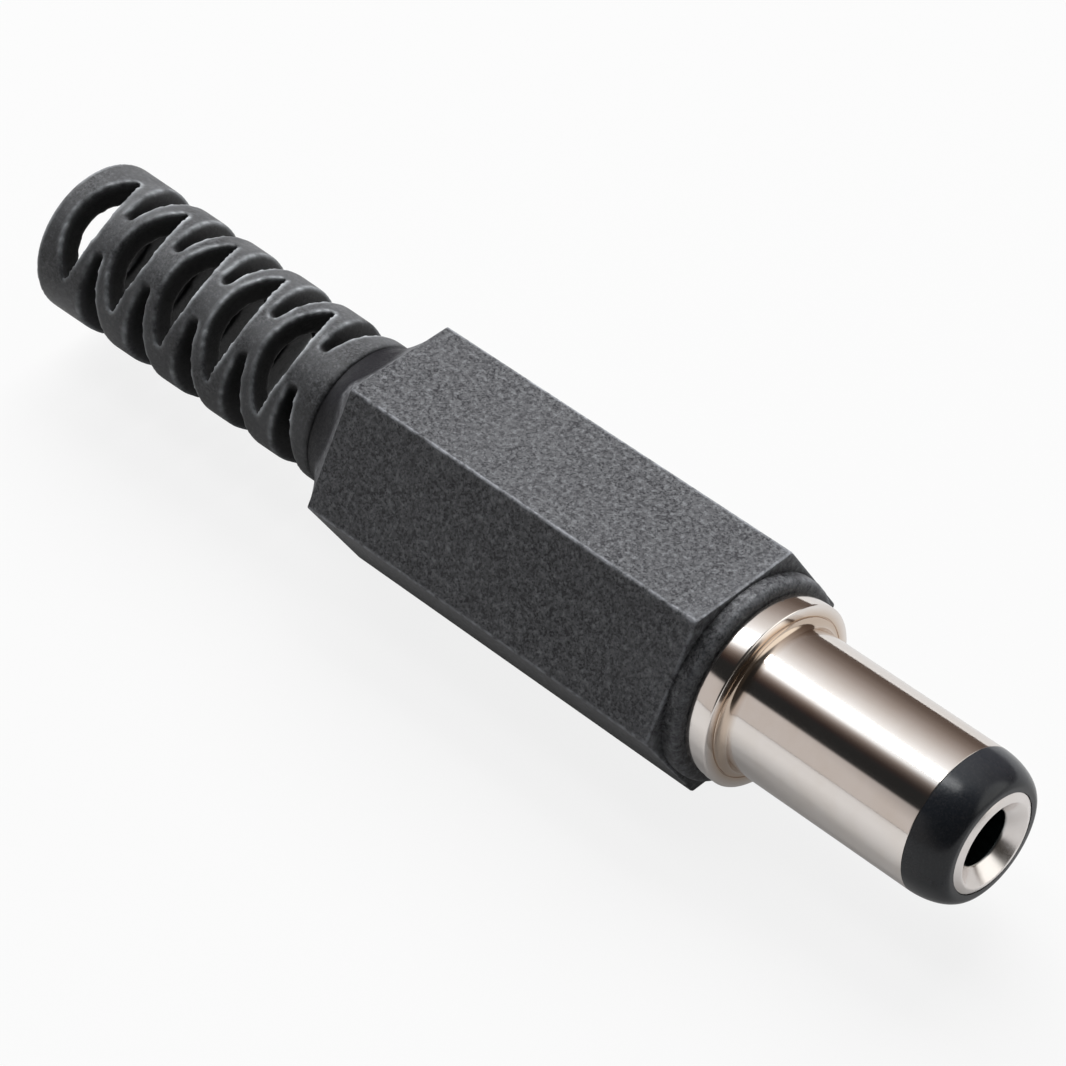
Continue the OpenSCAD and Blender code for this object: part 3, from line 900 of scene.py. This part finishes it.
def roomTone(angle):
    # a wall behind that brightens up to the softbox, a black flag before the softbox and a pale wall in front
    r = room
    if angle < r["softboxFrom"]:
        tone = r["shade"] + (r["softbox"] - r["shade"]) * (angle / r["softboxFrom"]) ** 2
    elif angle <= r["flagTo"]:
        tone = r["softbox"] * math.exp(min(r["softboxTo"] - angle, 0) / r["falloff"])
    else:
        tone = r["wall"]
    return [max(tone ** power, r["flag"]) for power in r["warmth"]]


def roomAngles(risingSteps=6, fadingSteps=6):
    # the places where the room's tones are set, which blend evenly in between
    r = room
    rising = [r["softboxFrom"] * step / risingSteps for step in range(risingSteps + 1)]
    fall = r["flagFrom"] - r["softboxTo"]
    fading = [r["softboxTo"] + fall * step / fadingSteps for step in range(fadingSteps + 1)]
    return rising + fading + [r["flagTo"], r["flagTo"] + r["flagEdge"], 180]


def turnOf(right, up, back):
    return Matrix((right, up, back)).transposed().to_4x4()


def makeFloor():
    half = studio["floorSize"] / 2
    shape = bmesh.new()
    shape.faces.new([shape.verts.new((x, y, floorHeight)) for x, y in
                     ((-half, -half), (half, -half), (half, half), (-half, half))])
    floor = meshObject("floor", shape)
    material, tree, shader = newMaterial("paleFloor")
    tone = studio["floorTone"]
    shader.inputs["Base Color"].default_value = (tone, tone, tone, 1)
    shader.inputs["Roughness"].default_value = 0.9
    glow = tree.nodes.new("ShaderNodeEmission")
    rays = tree.nodes.new("ShaderNodeLightPath")
    mixer = tree.nodes.new("ShaderNodeMixShader")
    seen = mathNode(tree, "MULTIPLY", rays.outputs["Is Camera Ray"], studio["whiteShare"])
    mirrored = mathNode(tree, "MULTIPLY", rays.outputs["Is Glossy Ray"], studio["glossShare"])
    tree.links.new(mathNode(tree, "MAXIMUM", seen, mirrored), mixer.inputs[0])
    tree.links.new(shader.outputs[0], mixer.inputs[1])
    tree.links.new(glow.outputs[0], mixer.inputs[2])
    tree.links.new(mixer.outputs[0], tree.nodes["Material Output"].inputs["Surface"])
    floor.data.materials.append(material)


def makeWorld():
    world = bpy.data.worlds.new("studioWorld")
    bpy.context.scene.world = world
    world.use_nodes = True
    tree = world.node_tree
    background = tree.nodes["Background"]
    direction = tree.nodes.new("ShaderNodeTexCoord")
    parts = tree.nodes.new("ShaderNodeSeparateXYZ")
    tree.links.new(direction.outputs["Generated"], parts.inputs[0])
    angle = mathNode(tree, "ARCTAN2", parts.outputs[2], parts.outputs[1])
    ramp = tree.nodes.new("ShaderNodeValToRGB")
    tree.links.new(mathNode(tree, "DIVIDE", angle, math.pi), ramp.inputs[0])
    elements = ramp.color_ramp.elements
    for i, degrees in enumerate(roomAngles()):
        element = elements[i] if i < 2 else elements.new(1.0)
        element.position = degrees / 180
        element.color = (*roomTone(degrees), 1)
    shaded = ramp.outputs[0]
    for toward, outer, inner, share, tone in studio["cards"].values():
        facing = tree.nodes.new("ShaderNodeVectorMath")
        facing.operation = "DOT_PRODUCT"
        tree.links.new(direction.outputs["Generated"], facing.inputs[0])
        facing.inputs[1].default_value = Vector(toward).normalized()
        card = tree.nodes.new("ShaderNodeMapRange")
        card.interpolation_type = "SMOOTHSTEP"
        tree.links.new(facing.outputs["Value"], card.inputs["Value"])
        for socketName, setting in (("From Min", outer), ("From Max", inner), ("To Max", share)):
            card.inputs[socketName].default_value = setting
        shaded = blendColour(tree, card.outputs[0], shaded, tone)
    rays = tree.nodes.new("ShaderNodeLightPath")
    seen = blendColour(tree, rays.outputs["Is Camera Ray"], shaded, (1, 1, 1))
    tree.links.new(seen, background.inputs["Color"])
    # matt surfaces get less light from the room than metal mirrors of it, to keep their light level plain
    spared = mathNode(tree, "MULTIPLY", rays.outputs["Is Diffuse Ray"], 1 - studio["matteShare"])
    tree.links.new(mathNode(tree, "SUBTRACT", 1.0, spared), background.inputs["Strength"])


def makeLamp(name, angle, distance, size, power, mirrored):
    lamp = bpy.data.lights.new(name, "AREA")
    lamp.shape = "RECTANGLE"
    lamp.size, lamp.size_y = size
    lamp.energy = power
    lean = studio["lampLean"]
    a = math.radians(angle)
    across = math.sqrt(1 - lean ** 2)
    back = Vector((-lean, across * math.cos(a), across * math.sin(a)))
    side = (Vector((1, 0, 0)) - back * back.x).normalized()
    made = bpy.data.objects.new(name, lamp)
    made.matrix_world = Matrix.Translation(back * distance) @ turnOf(side, back.cross(side), back)
    made.visible_camera = False
    made.visible_glossy = mirrored
    bpy.context.scene.collection.objects.link(made)


viewpoint = {
    "azimuth": 45.47, "elevation": 43.34, "roll": -0.71, "distance": 149.07, "lens": 145.5,
    "aim": (-12.7, 0, 0), "shiftRight": 0.921, "shiftUp": -0.677,
}


def makeCamera():
    v = viewpoint
    a, e, r = (math.radians(v[key]) for key in ("azimuth", "elevation", "roll"))
    back = Vector((math.sin(a) * math.cos(e), -math.cos(a) * math.cos(e), math.sin(e)))
    level = Vector((math.cos(a), math.sin(a), 0))
    upright = back.cross(level)
    right = level * math.cos(r) + upright * math.sin(r)
    up = upright * math.cos(r) - level * math.sin(r)
    place = Vector(v["aim"]) + right * v["shiftRight"] + up * v["shiftUp"] + back * v["distance"]
    lens = bpy.data.cameras.new("camera")
    lens.lens = v["lens"]
    lens.sensor_width = 36
    lens.clip_start = 0.005
    lens.clip_end = 10
    made = bpy.data.objects.new("camera", lens)
    made.matrix_world = Matrix.Translation(place * millimetre) @ turnOf(right, up, back)
    bpy.context.scene.collection.objects.link(made)
    bpy.context.scene.camera = made


makeFloor()
makeWorld()
for lampName, values in studio["lamps"].items():
    makeLamp(lampName, *values)
makeCamera()
bpy.context.scene.view_settings.view_transform = "Standard"
print("stage: studio made")
